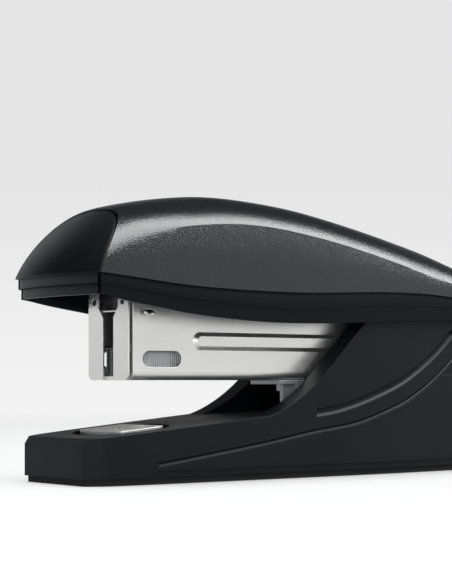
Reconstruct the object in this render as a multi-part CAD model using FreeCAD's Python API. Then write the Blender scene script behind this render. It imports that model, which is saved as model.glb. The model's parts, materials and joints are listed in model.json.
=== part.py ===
import FreeCAD, Part
import math
import os

# A black desk stapler: a base with a tongue and cheeks, a steel magazine and a handle, all on one pin.
# Millimetres. +X runs to the rear, the nose is at -X, +Z is up and the part stands on Z = 0.

os.makedirs("parts", exist_ok=True)
V = FreeCAD.Vector

# ---- driving dimensions ----
nose_x = -75.5               # foremost point of the cap
tail_x = 75.5                # rearmost point of the cap
pivot_x = 56.0               # hinge pin of the magazine and the handle
pivot_z = 30.5
pin_radius = 2.0
running_gap = 0.05           # radial gap of a part that turns on the pin
rivet_radius = 1.2
rivet_head = 2.0             # radius of a rivet's head

magazine_bottom = 23.5       # the magazine is level at rest
magazine_top = 41.5
magazine_half = 8.85
sheet = 1.0                  # thickness of the magazine's steel
plate_x = -59.0              # front face of the front plate
plate_thickness = 0.45
sleeve_front = -58.1         # the plate stands a little ahead of the sleeve's edge
plate_half = 8.13
slot_half = 2.15

close_tilt = 5.3             # degrees between the tongue and the level magazine
press_tilt = 4.1             # degrees that the handle drops to drive a staple
rim_step = 0.6               # each rim band steps in by this much
clear_inset = 2.3            # inside of the rim, measured in from the lip

staple_crown = 12.9
staple_leg = 6.0
staple_wire = 0.50           # thickness of the wire; it is a little wider along the strip
staple_width = 0.52
staple_pitch = 0.57
staple_count = 48
strip_front = -55.2

# Side view lines of the cap as (x, z), from nose to tail.
top_line = [(-80, 54.6), (-69, 60.3), (-59, 63.9), (-39, 67.1), (-24, 67.3), (-4, 65.4),
            (31, 58.6), (47, 54.0), (61, 49.6), (77, 43.5)]
crease_line = [(-80, 48.5), (-73, 49.5), (-67, 52.4), (-59, 55.7), (-48, 58.6), (-29, 59.9),
               (-9, 57.9), (13, 53.7), (33, 49.1), (56, 45.4), (77, 41.2)]
lip_line = [(-80, 47.2), (-73, 47.1), (-46, 44.9), (-16, 44.4), (13, 45.4), (31, 45.2), (56, 43.0),
            (77, 40.0)]
step_line = [(-80, 44.8), (-73, 44.7), (-46, 41.8), (-16, 40.5), (13, 41.9), (31, 42.3), (56, 40.8),
             (77, 38.7)]
rim_line = [(-80, 42.4), (-72, 42.3), (-65, 41.1), (-56, 39.8), (-46, 38.5), (-25, 37.2), (-3, 37.4),
            (31, 38.8), (56, 38.4), (77, 37.4)]
# Half-width of the cap at its lip, as (x, y).
half_line = [(-80, 17.6), (-73, 18.1), (-39, 18.4), (1, 18.8), (37, 17.4), (56, 16.2), (77, 14.2)]
side_lean = 0.14             # the side leans in by this much per millimetre up to the crease
stations = [-80, -73, -66, -59, -48, -34, -18, 0, 16, 32, 47, 61, 77]
nose_radius = 67.0           # plan view
tail_radius = 26.0
facet_foot = 47.2            # height where the nose starts to lean back
facet_slope = 0.45           # it leans back by this much per millimetre of height
facet_curve = 0.025          # and by more towards its top
facet_steps = [4.0, 8.0, 12.0, 16.0, 24.0]
facet_reach = 1.25           # how much further back an inset surface lies on the lean
nose_layer = 2.2             # thickness of the nose cover
nose_recess = 0.25           # it lies this far behind the front edge of the cap
edge_skin = 0.6              # thickness of the cap's side where it wraps the nose cover
cut_tolerance = 0.001
corner_gap = 0.95            # upright gap between the nose's rim bands and the side's

floor_slope = math.tan(math.radians(close_tilt))
pad_top = 1.5
tongue_tip = -74.0
heel_x = pivot_x + 11.0
cheek_inner = 10.5
anvil_x = -55.3
anvil_round = 11.4
spring_seat = 3.2            # depth of the ledge under the anvil that its spring pushes on


# ---- helpers ----
def along(line, x):
    """Height on a smooth curve through the points of a line."""
    if x <= line[0][0]:
        return line[0][1]
    if x >= line[-1][0]:
        return line[-1][1]
    i = 0
    while x > line[i + 1][0]:
        i += 1
    (x0, z0), (x1, z1) = line[i], line[i + 1]

    def slope(k):
        a, b = max(k - 1, 0), min(k + 1, len(line) - 1)
        return (line[b][1] - line[a][1]) / (line[b][0] - line[a][0])
    run = x1 - x0
    t = (x - x0) / run
    return ((2 * t ** 3 - 3 * t ** 2 + 1) * z0 + (t ** 3 - 2 * t ** 2 + t) * run * slope(i)
            + (3 * t ** 2 - 2 * t ** 3) * z1 + (t ** 3 - t ** 2) * run * slope(i + 1))


def box(x0, x1, y0, y1, z0, z1):
    return Part.makeBox(x1 - x0, y1 - y0, z1 - z0, V(x0, y0, z0))


def rod_x(y, z, radius, x0, x1):
    return Part.makeCylinder(radius, x1 - x0, V(x0, y, z), V(1, 0, 0))


def rod_y(x, z, radius, y0, y1):
    return Part.makeCylinder(radius, y1 - y0, V(x, y0, z), V(0, 1, 0))


def rod_z(x, y, radius, z0, z1):
    return Part.makeCylinder(radius, z1 - z0, V(x, y, z0), V(0, 0, 1))


def side_plate(points, y0, y1):
    """A flat piece cut to an outline in the X-Z plane."""
    corners = [V(x, y0, z) for x, z in points]
    face = Part.Face(Part.makePolygon(corners + corners[:1]))
    return face.extrude(V(0, y1 - y0, 0))


def both_sides(shape):
    return [shape, shape.mirror(V(0, 0, 0), V(0, 1, 0))]


def fuse(shapes):
    joined = shapes[0]
    for shape in shapes[1:]:
        joined = joined.fuse(shape)
    return joined.removeSplitter()


def tilt(shape, degrees, x=pivot_x, z=pivot_z):
    turned = shape.copy()
    turned.rotate(V(x, 0, z), V(0, 1, 0), degrees)
    return turned


def save(name, shape):
    solids = shape.Solids
    body = solids[0] if len(solids) == 1 else Part.makeCompound(solids)
    body.exportStep("parts/" + name + ".step")
    print(name, len(solids), round(body.Volume, 1), body.isValid())


# ---- the handle's plastic ----
def squareness(x):
    """How square the cap's shoulder is: 1 at the nose, 0 from the middle back."""
    t = min(1.0, max(0.0, (-40.0 - x) / 27.0))
    return t * t * (3 - 2 * t)


def cap_wire(x, inset, foot):
    """Cross-section of the cap: lip, side, crease and crowned top, all moved in by inset."""
    half = along(half_line, x) - inset
    square = squareness(x)
    lip = along(lip_line, x)
    crease = along(crease_line, x) - 0.6 * inset
    top = along(top_line, x) - inset
    low = foot if foot is not None else lip
    crease_half = half - side_lean * (crease - lip)
    rise = top - crease

    def half_crown(side):
        shoulder = V(x, side * crease_half * (0.88 + 0.04 * square), crease + (0.52 + 0.06 * square) * rise)
        crown = V(x, side * crease_half * (0.52 + 0.20 * square), top)
        curve = Part.BezierCurve()
        curve.setPoles([V(x, side * crease_half, crease), shoulder, crown, V(x, 0, top)])
        return curve

    points = [V(x, -half, low), V(x, half, low)]
    if foot is not None:
        right = [Part.makeLine(V(x, half, low), V(x, half, lip)),
                 Part.makeLine(V(x, half, lip), V(x, crease_half, crease))]
        left = [Part.makeLine(V(x, -crease_half, crease), V(x, -half, lip)),
                Part.makeLine(V(x, -half, lip), V(x, -half, low))]
    else:
        right = [Part.makeLine(V(x, half, low), V(x, crease_half, crease))]
        left = [Part.makeLine(V(x, -crease_half, crease), V(x, -half, low))]
    back = half_crown(-1).toShape()
    back.reverse()
    return Part.Wire([Part.makeLine(points[0], points[1])] + right + [half_crown(1).toShape(), back] + left)


def cap_loft(inset, foot=None, places=None):
    return Part.makeLoft([cap_wire(x, inset, foot) for x in places or stations], True, False)


def cap_cavity():
    """The room inside the cap, open below."""
    return cap_loft(clear_inset, 30.0, [-80, -60, -40, -20, 0, 20, 40, 60, 77])


def band_loft(inset, low_line, high_line):
    """A solid between two side lines, as wide as the lip less inset."""
    wires = []
    for x in stations:
        half = along(half_line, x) - inset
        low, high = along(low_line, x), along(high_line, x)
        corners = [V(x, -half, low), V(x, half, low), V(x, half, high), V(x, -half, high)]
        wires.append(Part.makePolygon(corners + corners[:1]))
    return Part.makeLoft(wires, True, False)


def raised(line, amount):
    return [(x, z + amount) for x, z in line]


def nose_outline(front, far_x, z):
    """Plan outline with a bowed front and a straight back."""
    wide = 30.0
    bow = nose_radius - math.sqrt(nose_radius ** 2 - wide ** 2)
    arc = Part.Arc(V(front + bow, wide, z), V(front, 0, z), V(front + bow, -wide, z)).toShape()
    return Part.Wire([arc, Part.makeLine(V(front + bow, -wide, z), V(far_x, -wide, z)),
                      Part.makeLine(V(far_x, -wide, z), V(far_x, wide, z)),
                      Part.makeLine(V(far_x, wide, z), V(front + bow, wide, z))])


def tail_cutter(inset):
    """Keeps what lies ahead of the rounded tail."""
    wide = 24.0
    back = tail_x - inset
    bow = tail_radius - math.sqrt(tail_radius ** 2 - wide ** 2)
    arc = Part.Arc(V(back - bow, -wide, 0), V(back, 0, 0), V(back - bow, wide, 0)).toShape()
    wire = Part.Wire([arc, Part.makeLine(V(back - bow, wide, 0), V(-120, wide, 0)),
                      Part.makeLine(V(-120, wide, 0), V(-120, -wide, 0)),
                      Part.makeLine(V(-120, -wide, 0), V(back - bow, -wide, 0))])
    return Part.Face(wire).extrude(V(0, 0, 100))


def envelope(front_inset, rear_inset):
    """Everything behind the nose surface and ahead of the tail surface."""
    front = nose_x + front_inset
    outlines = [nose_outline(front, 120, 0), nose_outline(front, 120, facet_foot)]
    for height in facet_steps:
        set_back = height * (facet_slope + facet_curve * height)
        outlines.append(nose_outline(nose_x + front_inset * facet_reach + set_back, 120, facet_foot + height))
    return Part.makeLoft(outlines, True, True).common(tail_cutter(rear_inset))


def nose_slice(inset, depth):
    """The front layer of the cap, from inset to depth behind the nose surface."""
    return envelope(inset, 0).cut(envelope(depth, 0)).common(box(-90, -10, -30, 30, 0, 90))


def make_cap():
    outer = cap_loft(0)
    cavity = cap_cavity()
    pocket = cap_loft(edge_skin, 30.0).common(nose_slice(-4, nose_recess + nose_layer))
    shell = outer.common(envelope(0, 0))
    shell = shell.cut([cavity.common(envelope(-4, clear_inset)), pocket], cut_tolerance)
    save("cap_shell", shell)

    upper_band = band_loft(rim_step, step_line, lip_line)
    lower_band = band_loft(2 * rim_step, rim_line, step_line)
    back = nose_recess + nose_layer
    side = edge_skin + corner_gap
    upper_nose = band_loft(rim_step + side, step_line, raised(lip_line, 0.8))
    lower_nose = band_loft(2 * rim_step + side, rim_line, raised(step_line, 0.8))
    face = cap_loft(edge_skin).common(nose_slice(nose_recess, back))
    nose = fuse([face, upper_nose.common(nose_slice(rim_step, back)),
                 lower_nose.common(nose_slice(2 * rim_step, back))])
    save("nose_cover", nose)

    inside = band_loft(clear_inset, [(-80, 30), (77, 30)], [(-80, 50), (77, 50)])
    inside = inside.common(envelope(-4, clear_inset))
    mouth = nose_slice(-4, back)
    upper = upper_band.cut(inside).common(envelope(rim_step, rim_step))
    upper = upper.cut(band_loft(rim_step + edge_skin, step_line, lip_line).common(mouth))
    lower = lower_band.cut(inside).common(envelope(2 * rim_step, 2 * rim_step))
    lower = lower.cut(band_loft(2 * rim_step + edge_skin, rim_line, step_line).common(mouth))
    save("cap_rim", Part.makeCompound([upper, lower]))


# ---- the handle's steel ----
def arm_height(x):
    """Underside of the driver arm: it comes down flat on the magazine when pressed home."""
    return magazine_top + 1.0 + math.tan(math.radians(press_tilt)) * (pivot_x - x)


arm_front = -55.95
arm_sheet = 1.0
arm_half = 10.0
arm_flange = 0.85
screw_places = [-40.0, -22.0]


def make_arm():
    front = arm_height(arm_front)
    web = side_plate([(arm_front, front), (62, arm_height(62)), (62, arm_height(62) + arm_sheet),
                      (arm_front, front + arm_sheet)], -7.2, 7.2)
    wide = side_plate([(22, arm_height(22)), (62, arm_height(62)), (62, arm_height(62) + arm_sheet),
                       (22, arm_height(22) + arm_sheet)], -arm_half, arm_half)
    end = box(arm_front, arm_front + 0.9, -6.2, 6.2, front + 0.2, front + 8.0)
    cheek = side_plate([(26, arm_height(26) + 0.6), (26, 41.5), (48, 28.5), (52, 26.4), (60, 26.4),
                        (62, 30), (62, arm_height(62) + 0.6)], arm_half - arm_flange, arm_half)
    arm = fuse([web, wide, end] + both_sides(cheek))
    arm = arm.cut(rod_y(pivot_x, pivot_z, pin_radius + running_gap, -12, 12))
    for x in screw_places:
        arm = arm.cut(rod_z(x, 0, 1.5, 40, 60))
    for side in (-1, 1):
        arm = arm.cut(rod_x(side * 3.5, front + 5.0, 1.0, -60, -50))
    save("driver_arm", arm)

    posts = []
    screws = []
    cavity = cap_cavity()
    for x in screw_places:
        seat = arm_height(x) + arm_sheet + 0.3
        post = rod_z(x, 0, 3.6, seat, 80).common(cavity).cut(rod_z(x, 0, 1.5, seat - 1, seat + 9))
        posts.append(post)
        under = arm_height(x) - 0.25
        shank = rod_z(x, 0, 1.5, under, seat + 8.5)
        screws.append(fuse([shank, rod_z(x, 0, 2.8, under - 1.2, under)]))
    save("cap_posts", Part.makeCompound(posts))
    save("arm_screws", Part.makeCompound(screws))

    blade = box(arm_front - 0.6, arm_front, -6.0, 6.0, magazine_bottom + 8.0, front + 7.6)
    heads = []
    for side in (-1, 1):
        blade = blade.cut(rod_x(side * 3.5, front + 5.0, 1.0, -60, -50))
        heads.append(fuse([rod_x(side * 3.5, front + 5.0, 1.0, arm_front - 0.6, arm_front + 0.9),
                           rod_x(side * 3.5, front + 5.0, 1.7, arm_front - 1.1, arm_front - 0.6),
                           rod_x(side * 3.5, front + 5.0, 1.7, arm_front + 0.9, arm_front + 1.4)]))
    save("driver_blade", blade)
    save("blade_rivets", Part.makeCompound(heads))


# ---- the magazine ----
ear_radius = 5.0             # the magazine's ears around the hinge pin
rib_front, rib_back = -41.2, 21.0
rib_low, rib_high = 6.95, 11.3           # above the magazine's bottom
window_front, window_back = -55.4, -44.4
window_low, window_high = 3.05, 6.75     # above the magazine's bottom
bridge_front = 30.0
bridge_back = 42.0
bridge_pin_drop = 2.4        # from the magazine's top down to the bridge's pins
spring_rivet_x = 36.0
core_half = 5.5
core_low = magazine_bottom + sheet
core_top = core_low + 6.2
rod_height = core_top + 3.6
rod_radius = 1.2
spring_stop_x = 40.0


def channel(x0, x1, half, low, high, radius):
    """A straight solid with two rounded bottom edges."""
    block = box(x0, x1, -half, half, low, high)
    edges = [e for e in block.Edges
             if abs(e.Vertexes[0].Point.z - low) < 1e-6 and abs(e.Vertexes[1].Point.z - low) < 1e-6
             and abs(e.Vertexes[0].Point.y - e.Vertexes[1].Point.y) < 1e-6]
    return block.makeFillet(radius, edges)


def slot_prism(x0, x1, z0, z1, y0, y1):
    """A slot with round ends, cut across the part."""
    radius = (z1 - z0) / 2
    middle = (z0 + z1) / 2
    return fuse([box(x0 + radius, x1 - radius, y0, y1, z0, z1),
                 rod_y(x0 + radius, middle, radius, y0, y1), rod_y(x1 - radius, middle, radius, y0, y1)])


def slot_wire(x0, x1, z0, z1, y):
    """Outline of a slot with round ends in an X-Z plane."""
    radius = (z1 - z0) / 2
    middle = (z0 + z1) / 2
    left, right = x0 + radius, x1 - radius
    return Part.Wire([Part.makeLine(V(left, y, z0), V(right, y, z0)),
                      Part.Arc(V(right, y, z0), V(x1, y, middle), V(right, y, z1)).toShape(),
                      Part.makeLine(V(right, y, z1), V(left, y, z1)),
                      Part.Arc(V(left, y, z1), V(x0, y, middle), V(left, y, z0)).toShape()])


def pressed_rib(x0, x1, z0, z1):
    """A long rib pressed outwards from the sheet, with sloping flanks."""
    flank, height = 1.0, 0.8
    foot = slot_wire(x0, x1, z0, z1, magazine_half - 0.05)
    crest = slot_wire(x0 + flank, x1 - flank, z0 + flank, z1 - flank, magazine_half + height)
    return Part.makeLoft([foot, crest], True, True)


def make_sleeve():
    front, back = sleeve_front, 47.0
    body = channel(front, back, magazine_half, magazine_bottom, magazine_top, 2.0)
    inner = magazine_half - sheet
    body = body.cut(channel(front - 1, back + 1, inner, magazine_bottom + sheet, magazine_top + 1, 1.05))
    ear_outline = [(40, 26), (pivot_x, pivot_z - ear_radius), (pivot_x, pivot_z + ear_radius), (40, 40)]
    ear = fuse([rod_y(pivot_x, pivot_z, ear_radius, inner, magazine_half),
                side_plate(ear_outline, inner, magazine_half)])
    rib = pressed_rib(rib_front, rib_back, magazine_bottom + rib_low, magazine_bottom + rib_high)
    body = fuse([body] + both_sides(ear) + both_sides(rib))
    body = body.cut(rod_y(pivot_x, pivot_z, pin_radius + running_gap, -20, 20))
    body = body.cut(slot_prism(window_front, window_back, magazine_bottom + window_low,
                               magazine_bottom + window_high, -20, 20))
    body = body.cut(box(front - 1, strip_front + 1.2, -6.8, 6.8, magazine_bottom - 1, core_low))
    catch = magazine_bottom + 15.6
    body = body.cut(slot_prism(-55.2, -52.0, catch - 0.65, catch + 0.65, -20, 20))
    tab = box(-54.3, -52.8, inner - 0.2, magazine_half + 0.1, catch - 0.7, catch - 0.15)
    body = fuse([body] + both_sides(tab))
    for side in (-1, 1):
        for x in bridge_rivet_places:
            body = body.cut(rod_y(x, magazine_top - bridge_pin_drop, rivet_radius,
                                  min(0, side * 20), max(0, side * 20)))
    for x in core_rivet_places + strap_rivet_places:
        body = body.cut(rod_z(x, 0, rivet_radius, magazine_bottom - 1, core_low + 1))
    save("magazine_sleeve", body)


bridge_rivet_places = [33.0, 39.0]
core_rivet_places = [-30.0, 26.0]
strap_rivet_places = [-5.0]


def rivet_z(x, low, high, head_low, head_high):
    return fuse([rod_z(x, 0, rivet_radius, low, high), rod_z(x, 0, rivet_head, low - head_low, low),
                 rod_z(x, 0, rivet_head, high, high + head_high)])


def make_front_plate():
    low, high = magazine_bottom, magazine_bottom + 22.0
    plate = box(plate_x, plate_x + plate_thickness, -plate_half, plate_half, low, high)
    corners = [e for e in plate.Edges
               if abs(e.Vertexes[0].Point.z - low) < 1e-6 and abs(e.Vertexes[1].Point.z - low) < 1e-6
               and abs(e.Vertexes[0].Point.x - e.Vertexes[1].Point.x) > 0.1]
    plate = plate.makeFillet(1.6, corners)
    shoulder, mouth = low + 14.6, low + 16.9
    mouth_half = 4.0
    slot = [(-slot_half, low - 1), (slot_half, low - 1), (slot_half, shoulder), (mouth_half, mouth),
            (mouth_half, high - 1.4), (-mouth_half, high - 1.4), (-mouth_half, mouth), (-slot_half, shoulder)]
    points = [V(plate_x - 1, y, z) for y, z in slot]
    cutter = Part.Face(Part.makePolygon(points + points[:1])).extrude(V(3, 0, 0))
    plate = plate.cut(cutter)
    for side in (-1, 1):
        plate = plate.cut(rod_x(side * 5.8, low + 18.2, 0.8, plate_x - 1, plate_x + 2))
    behind = plate_x + plate_thickness
    ledge = box(behind, behind + 0.35, -mouth_half - 0.5, mouth_half + 0.5, low + 15.8, low + 16.15)
    inner = magazine_half - sheet
    ears = both_sides(box(behind - 0.1, behind + 5.0, inner - 0.5, inner, low + 18.3, high))
    save("front_plate", fuse([plate, ledge] + ears))


def make_core():
    """An upturned steel channel that the staples straddle."""
    front, back = strip_front + 0.4, 28.0
    body = box(front, back, -core_half, core_half, core_low, core_top)
    body = body.cut(box(front - 1, back + 1, -core_half + 0.8, core_half - 0.8, core_low - 1, core_top - 0.8))
    feet = [box(x - 4, x + 4, -core_half + 0.8, core_half - 0.8, core_low, core_low + 0.8)
            for x in core_rivet_places]
    body = fuse([body] + feet)
    for x in core_rivet_places:
        body = body.cut(rod_z(x, 0, rivet_radius, core_low - 1, core_low + 2))
    save("staple_core", body)
    rivets = []
    for x in core_rivet_places:
        shank = rod_z(x, 0, rivet_radius, magazine_bottom, core_low + 0.8)
        rivets.append(fuse([shank, rod_z(x, 0, rivet_head, core_low + 0.8, core_low + 1.3)]))
    save("core_rivets", Part.makeCompound(rivets))


def make_strip():
    """A part-used strip of bent wire staples."""
    top = core_top + 0.05 + staple_wire
    low = top - staple_leg
    half = staple_crown / 2
    staples = []
    for i in range(staple_count):
        x = strip_front + i * staple_pitch
        outer = box(x, x + staple_width, -half, half, low, top)
        corners = [e for e in outer.Edges
                   if abs(e.Vertexes[0].Point.z - top) < 1e-6 and abs(e.Vertexes[1].Point.z - top) < 1e-6
                   and abs(e.Vertexes[0].Point.x - e.Vertexes[1].Point.x) > 0.1]
        outer = outer.makeFillet(0.6, corners)
        staples.append(outer.cut(box(x - 1, x + 1, -half + staple_wire, half - staple_wire,
                                     low - 1, top - staple_wire)))
    save("staple_strip", Part.makeCompound(staples))


follower_front = strip_front + staple_count * staple_pitch + 0.3
follower_length = 11.0


def make_follower():
    """A plastic saddle that slides on the core and the rod."""
    back = follower_front + follower_length
    body = box(follower_front, back, -6.7, 6.7, core_low + 0.6, rod_height + 3.2)
    body = body.cut(box(follower_front - 1, back + 1, -core_half - 0.4, core_half + 0.4,
                        core_low - 1, core_top + 0.4))
    tops = [e for e in body.Edges
            if abs(e.Vertexes[0].Point.z - rod_height - 3.2) < 1e-6
            and abs(e.Vertexes[1].Point.z - rod_height - 3.2) < 1e-6
            and abs(e.Vertexes[0].Point.y - e.Vertexes[1].Point.y) < 1e-6]
    body = body.makeFillet(1.5, tops)
    body = body.cut(rod_x(0, rod_height, rod_radius + running_gap, follower_front - 1, back + 1))
    save("follower", body)
    nose = box(follower_front - 0.25, follower_front, -6.2, 6.2, core_top + 0.45, core_top + 1.4)
    save("follower_face", nose)


def make_rod():
    """The guide rod of the follower, its two steel brackets and its nut."""
    front = -52.0
    save("follower_rod", rod_x(0, rod_height, rod_radius, front, spring_stop_x + 1.0))
    inner = magazine_half - sheet
    brackets = []
    for x0, low in ((front, core_top), (spring_stop_x, core_low)):
        stay = box(x0, x0 + 1.0, -inner, inner, rod_height - 2.4, rod_height + 2.4)
        stay = stay.cut(rod_x(0, rod_height, rod_radius, x0 - 1, x0 + 2))
        brackets.append(stay)
    save("rod_brackets", Part.makeCompound(brackets))
    nut = Part.Face(Part.makePolygon([V(spring_stop_x + 1.0, 2.4 * math.cos(math.radians(60 * k)),
                                        rod_height + 2.4 * math.sin(math.radians(60 * k)))
                                      for k in range(7)])).extrude(V(1.6, 0, 0))
    save("rod_nut", nut)


def coil(x0, x1, centre_y, centre_z, radius, wire, turns):
    """A compression spring along X: one round wire on a helix."""
    pitch = (x1 - x0 - wire) / turns
    helix = Part.makeHelix(pitch, pitch * turns, radius)
    section = Part.Wire(Part.makeCircle(wire / 2, V(radius, 0, 0), V(0, 1, 0)))
    spring = Part.Wire(helix.Edges).makePipeShell([section], True, True)
    spring.rotate(V(0, 0, 0), V(0, 1, 0), 90)
    spring.translate(V(x0 + wire / 2, centre_y, centre_z))
    return spring


def make_follower_spring():
    save("follower_spring", coil(follower_front + follower_length + 0.1, spring_stop_x - 0.1, 0, rod_height,
                                 2.2, 0.6, 19))


def make_bridge():
    """A steel bridge across the open rear of the magazine, with the leaf that lifts the handle."""
    inner = magazine_half - sheet
    bridge = box(bridge_front, bridge_back, -inner, inner, magazine_top - sheet, magazine_top)
    leg = box(bridge_front, bridge_back, inner - sheet, inner, magazine_top - 4.5, magazine_top - sheet)
    bridge = fuse([bridge] + both_sides(leg))
    pin_z = magazine_top - bridge_pin_drop
    for x in bridge_rivet_places:
        bridge = bridge.cut(rod_y(x, pin_z, rivet_radius, -20, 20))
    bridge = bridge.cut(rod_z(spring_rivet_x, 0, rivet_radius, magazine_top - 3, magazine_top + 1))
    save("magazine_bridge", bridge)
    pins = []
    for x in bridge_rivet_places:
        pins += both_sides(rod_y(x, pin_z, rivet_radius, inner - sheet, magazine_half))
    save("bridge_pins", Part.makeCompound(pins))

    leaf_top = magazine_top + 0.05
    reach = 12.0
    tip = arm_height(-reach) - 0.12
    thickness = 0.35
    bend = leaf_top + 0.55 * (tip - leaf_top - thickness)
    under = [(41, leaf_top), (30, leaf_top), (10, bend), (-reach, tip - thickness),
             (-reach - 1.5, tip - thickness - 0.4)]
    leaf = side_plate(under + [(x, z + thickness) for x, z in reversed(under)], -3.0, 3.0)
    leaf = leaf.cut(rod_z(spring_rivet_x, 0, rivet_radius, magazine_top - 3, magazine_top + 1))
    save("handle_spring", leaf)
    leaf_high = leaf_top + thickness
    rivet = fuse([rod_z(spring_rivet_x, 0, rivet_radius, magazine_top - sheet, leaf_high),
                  rod_z(spring_rivet_x, 0, rivet_head, magazine_top - sheet - 0.6, magazine_top - sheet),
                  rod_z(spring_rivet_x, 0, 1.8, leaf_high, leaf_high + 0.25)])
    save("spring_rivet", rivet)


strap_front, strap_back = -14.2, 3.0
guide_front, guide_back = -12.4, 1.0


def make_strap():
    """A steel strap under the magazine: its hooked guide reaches through the floor of the base."""
    low = magazine_bottom
    parts = [box(strap_front, strap_back, -8.0, 3.0, low - 1.0, low),
             box(guide_front, guide_back, -7.2, -6.2, low - 9.0, low - 1.0),
             box(guide_front, guide_front + 2.0, -6.2, -5.2, low - 9.0, low - 8.0),
             box(-14.0, -13.1, -7.8, -6.8, low - 2.6, low - 1.0),
             box(-8.2, -7.2, -8.0, -7.2, low - 1.9, low - 1.0)]
    strap = fuse(parts)
    for x in strap_rivet_places:
        strap = strap.cut(rod_z(x, 0, rivet_radius, low - 2, low + 1))
    save("magazine_strap", strap)
    save("strap_rivet", Part.makeCompound([rivet_z(x, low - 1.0, core_low, 0.4, 0.3)
                                           for x in strap_rivet_places]))


def make_bush():
    bore = rod_y(pivot_x, pivot_z, pin_radius + running_gap, -8, 8)
    save("magazine_bush", rod_y(pivot_x, pivot_z, 3.4, -7.8, 7.8).cut(bore))


# ---- the base ----
def floor_height(x):
    """Top of the tongue and of the floor between the cheeks, parallel to the closed magazine."""
    return magazine_bottom - 1.1 - floor_slope * (pivot_x - x)


def base_half(x):
    """Half-width of the base in plan."""
    return along([(-74, 12.2), (-70, 14.6), (-62, 15.7), (-50, 16.0), (-10, 16.0), (8, 15.9), (20, 15.5),
                  (37, 14.4), (56, 12.9), (67, 12.3)], x)


base_stations = [-74, -72, -70, -66, -62, -56, -50, -30, -10, 0, 8, 20, 28, 37, 47, 56, 67]


def base_plan(inset, z0, z1, x_low=-1000.0):
    """The base's outline in plan, moved in by inset, as an upright prism."""
    ends = [max(tongue_tip + inset, x_low), heel_x - inset]
    inner = [x for x in base_stations if ends[0] < x < ends[1]]
    xs = [ends[0]] + inner + [ends[1]]
    near = [V(x, -(base_half(x) - inset), z0) for x in xs]
    far = [V(x, base_half(x) - inset, z0) for x in reversed(xs)]
    near_curve = Part.BSplineCurve()
    near_curve.interpolate(near)
    far_curve = Part.BSplineCurve()
    far_curve.interpolate(far)
    wire = Part.Wire([near_curve.toShape(), Part.makeLine(near[-1], far[0]), far_curve.toShape(),
                      Part.makeLine(far[-1], near[0])])
    return Part.Face(wire).extrude(V(0, 0, z1 - z0))


def base_side(low):
    """Side outline of the base: tongue, swept-up cheek edge, cheek top and rounded heel."""
    points = [V(tongue_tip, 0, low), V(heel_x, 0, low), V(heel_x, 0, pivot_z)]
    heel_top = V(pivot_x, 0, pivot_z + 11.0)
    heel = Part.Arc(points[2], V(pivot_x + 11.0 * math.sin(math.radians(45)), 0,
                                 pivot_z + 11.0 * math.cos(math.radians(45))), heel_top).toShape()
    cheek_top = V(12.0, 0, 40.0)
    sweep = Part.BSplineCurve()
    sweep.interpolate([V(-23.5, 0, floor_height(-23.5)), V(-17, 0, 17.6), V(-8, 0, 23.5), V(-0.5, 0, 30.5),
                       V(7.5, 0, 38.0)])
    brow = Part.Arc(V(7.5, 0, 38.0), V(9.2, 0, 39.4), cheek_top).toShape()
    tip = V(tongue_tip, 0, floor_height(tongue_tip) - 1.5)
    nose_top = V(tongue_tip + 2.0, 0, floor_height(tongue_tip + 2.0))
    edges = [Part.makeLine(points[0], points[1]), Part.makeLine(points[1], points[2]), heel,
             Part.makeLine(heel_top, cheek_top), brow, sweep.toShape(),
             Part.makeLine(V(-23.5, 0, floor_height(-23.5)), nose_top), Part.makeLine(nose_top, tip),
             Part.makeLine(tip, points[0])]
    wire = Part.Wire(Part.__sortEdges__(edges))
    return Part.Face(wire).extrude(V(0, 60, 0)).translated(V(0, -30, 0))


def arc_line(drop):
    """The line that sweeps up along the side of the base, lowered by drop."""
    spine = [(-9, 15.6), (2.5, 17.5), (13.2, 20.7), (19.7, 23.1), (26.2, 26.4), (33, 30.7), (39.5, 36.0)]
    return [V(x + 0.35 * drop, 0, z - drop * (1 + 0.006 * x)) for x, z in spine]


def arc_groove(points, radius):
    curve = Part.BSplineCurve()
    curve.interpolate(points)
    path = Part.Wire([curve.toShape()])
    start = points[0]
    section = Part.Wire(Part.makeCircle(radius, start, curve.tangent(curve.FirstParameter)[0]))
    return path.makePipeShell([section], True, False)


trim_drop = 4.4              # how far the edge of the trim lies below the main swept line
trim_lead = [(-56, 4.0), (-38, 6.4), (-22, 8.7)]
base_screw_places = [(-62.0, 9.0), (-62.0, -9.0), (28.0, 9.5), (28.0, -9.5)]
bracket_rivet_places = [(50.0, 6.0), (50.0, -6.0)]
lift_rivet_places = [31.0, 37.0]
cavity_top = 17.6
plate_high = pad_top + 1.0


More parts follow.
